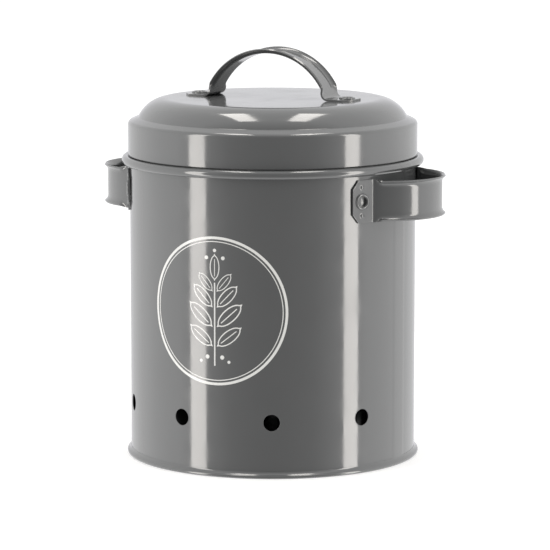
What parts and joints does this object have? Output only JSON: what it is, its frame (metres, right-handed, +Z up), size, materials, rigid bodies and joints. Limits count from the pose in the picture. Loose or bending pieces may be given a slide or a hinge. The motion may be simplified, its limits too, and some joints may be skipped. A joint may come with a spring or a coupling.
{
  "type": "onion storage box",
  "caption": "Round sheet-steel onion keeper with a lift-off domed lid, strap handles and a row of air holes near the foot.",
  "frame": {"origin": "centre of the foot, on the surface it stands on", "axes": "+Z up along the canister's axis, +X towards the right handle, -Y towards the printed front"},
  "size_m": [0.2092, 0.1742, 0.2351],
  "materials": {
    "enamel": "glossy mid-grey enamel with a faint orange-peel surface",
    "rivets": "tubular steel rivets under the same glossy grey enamel",
    "print": "thin white screen print on the front"
  },
  "bodies": {
    "canister": {"body_shell": "enamel", "base_pan": "enamel", "right_handle": "enamel", "left_handle": "enamel", "right_front_rivet": "rivets", "right_rear_rivet": "rivets", "left_front_rivet": "rivets", "left_rear_rivet": "rivets"},
    "lid": {"lid_shell": "enamel", "lid_handle": "enamel", "lid_right_rivet": "rivets", "lid_left_rivet": "rivets"}
  },
  "joints": [
    {"name": "lid_lift", "type": "slide", "parent": "canister", "child": "lid", "axis": [0, 0, 1], "range_m": [0, 0.08]}
  ]
}
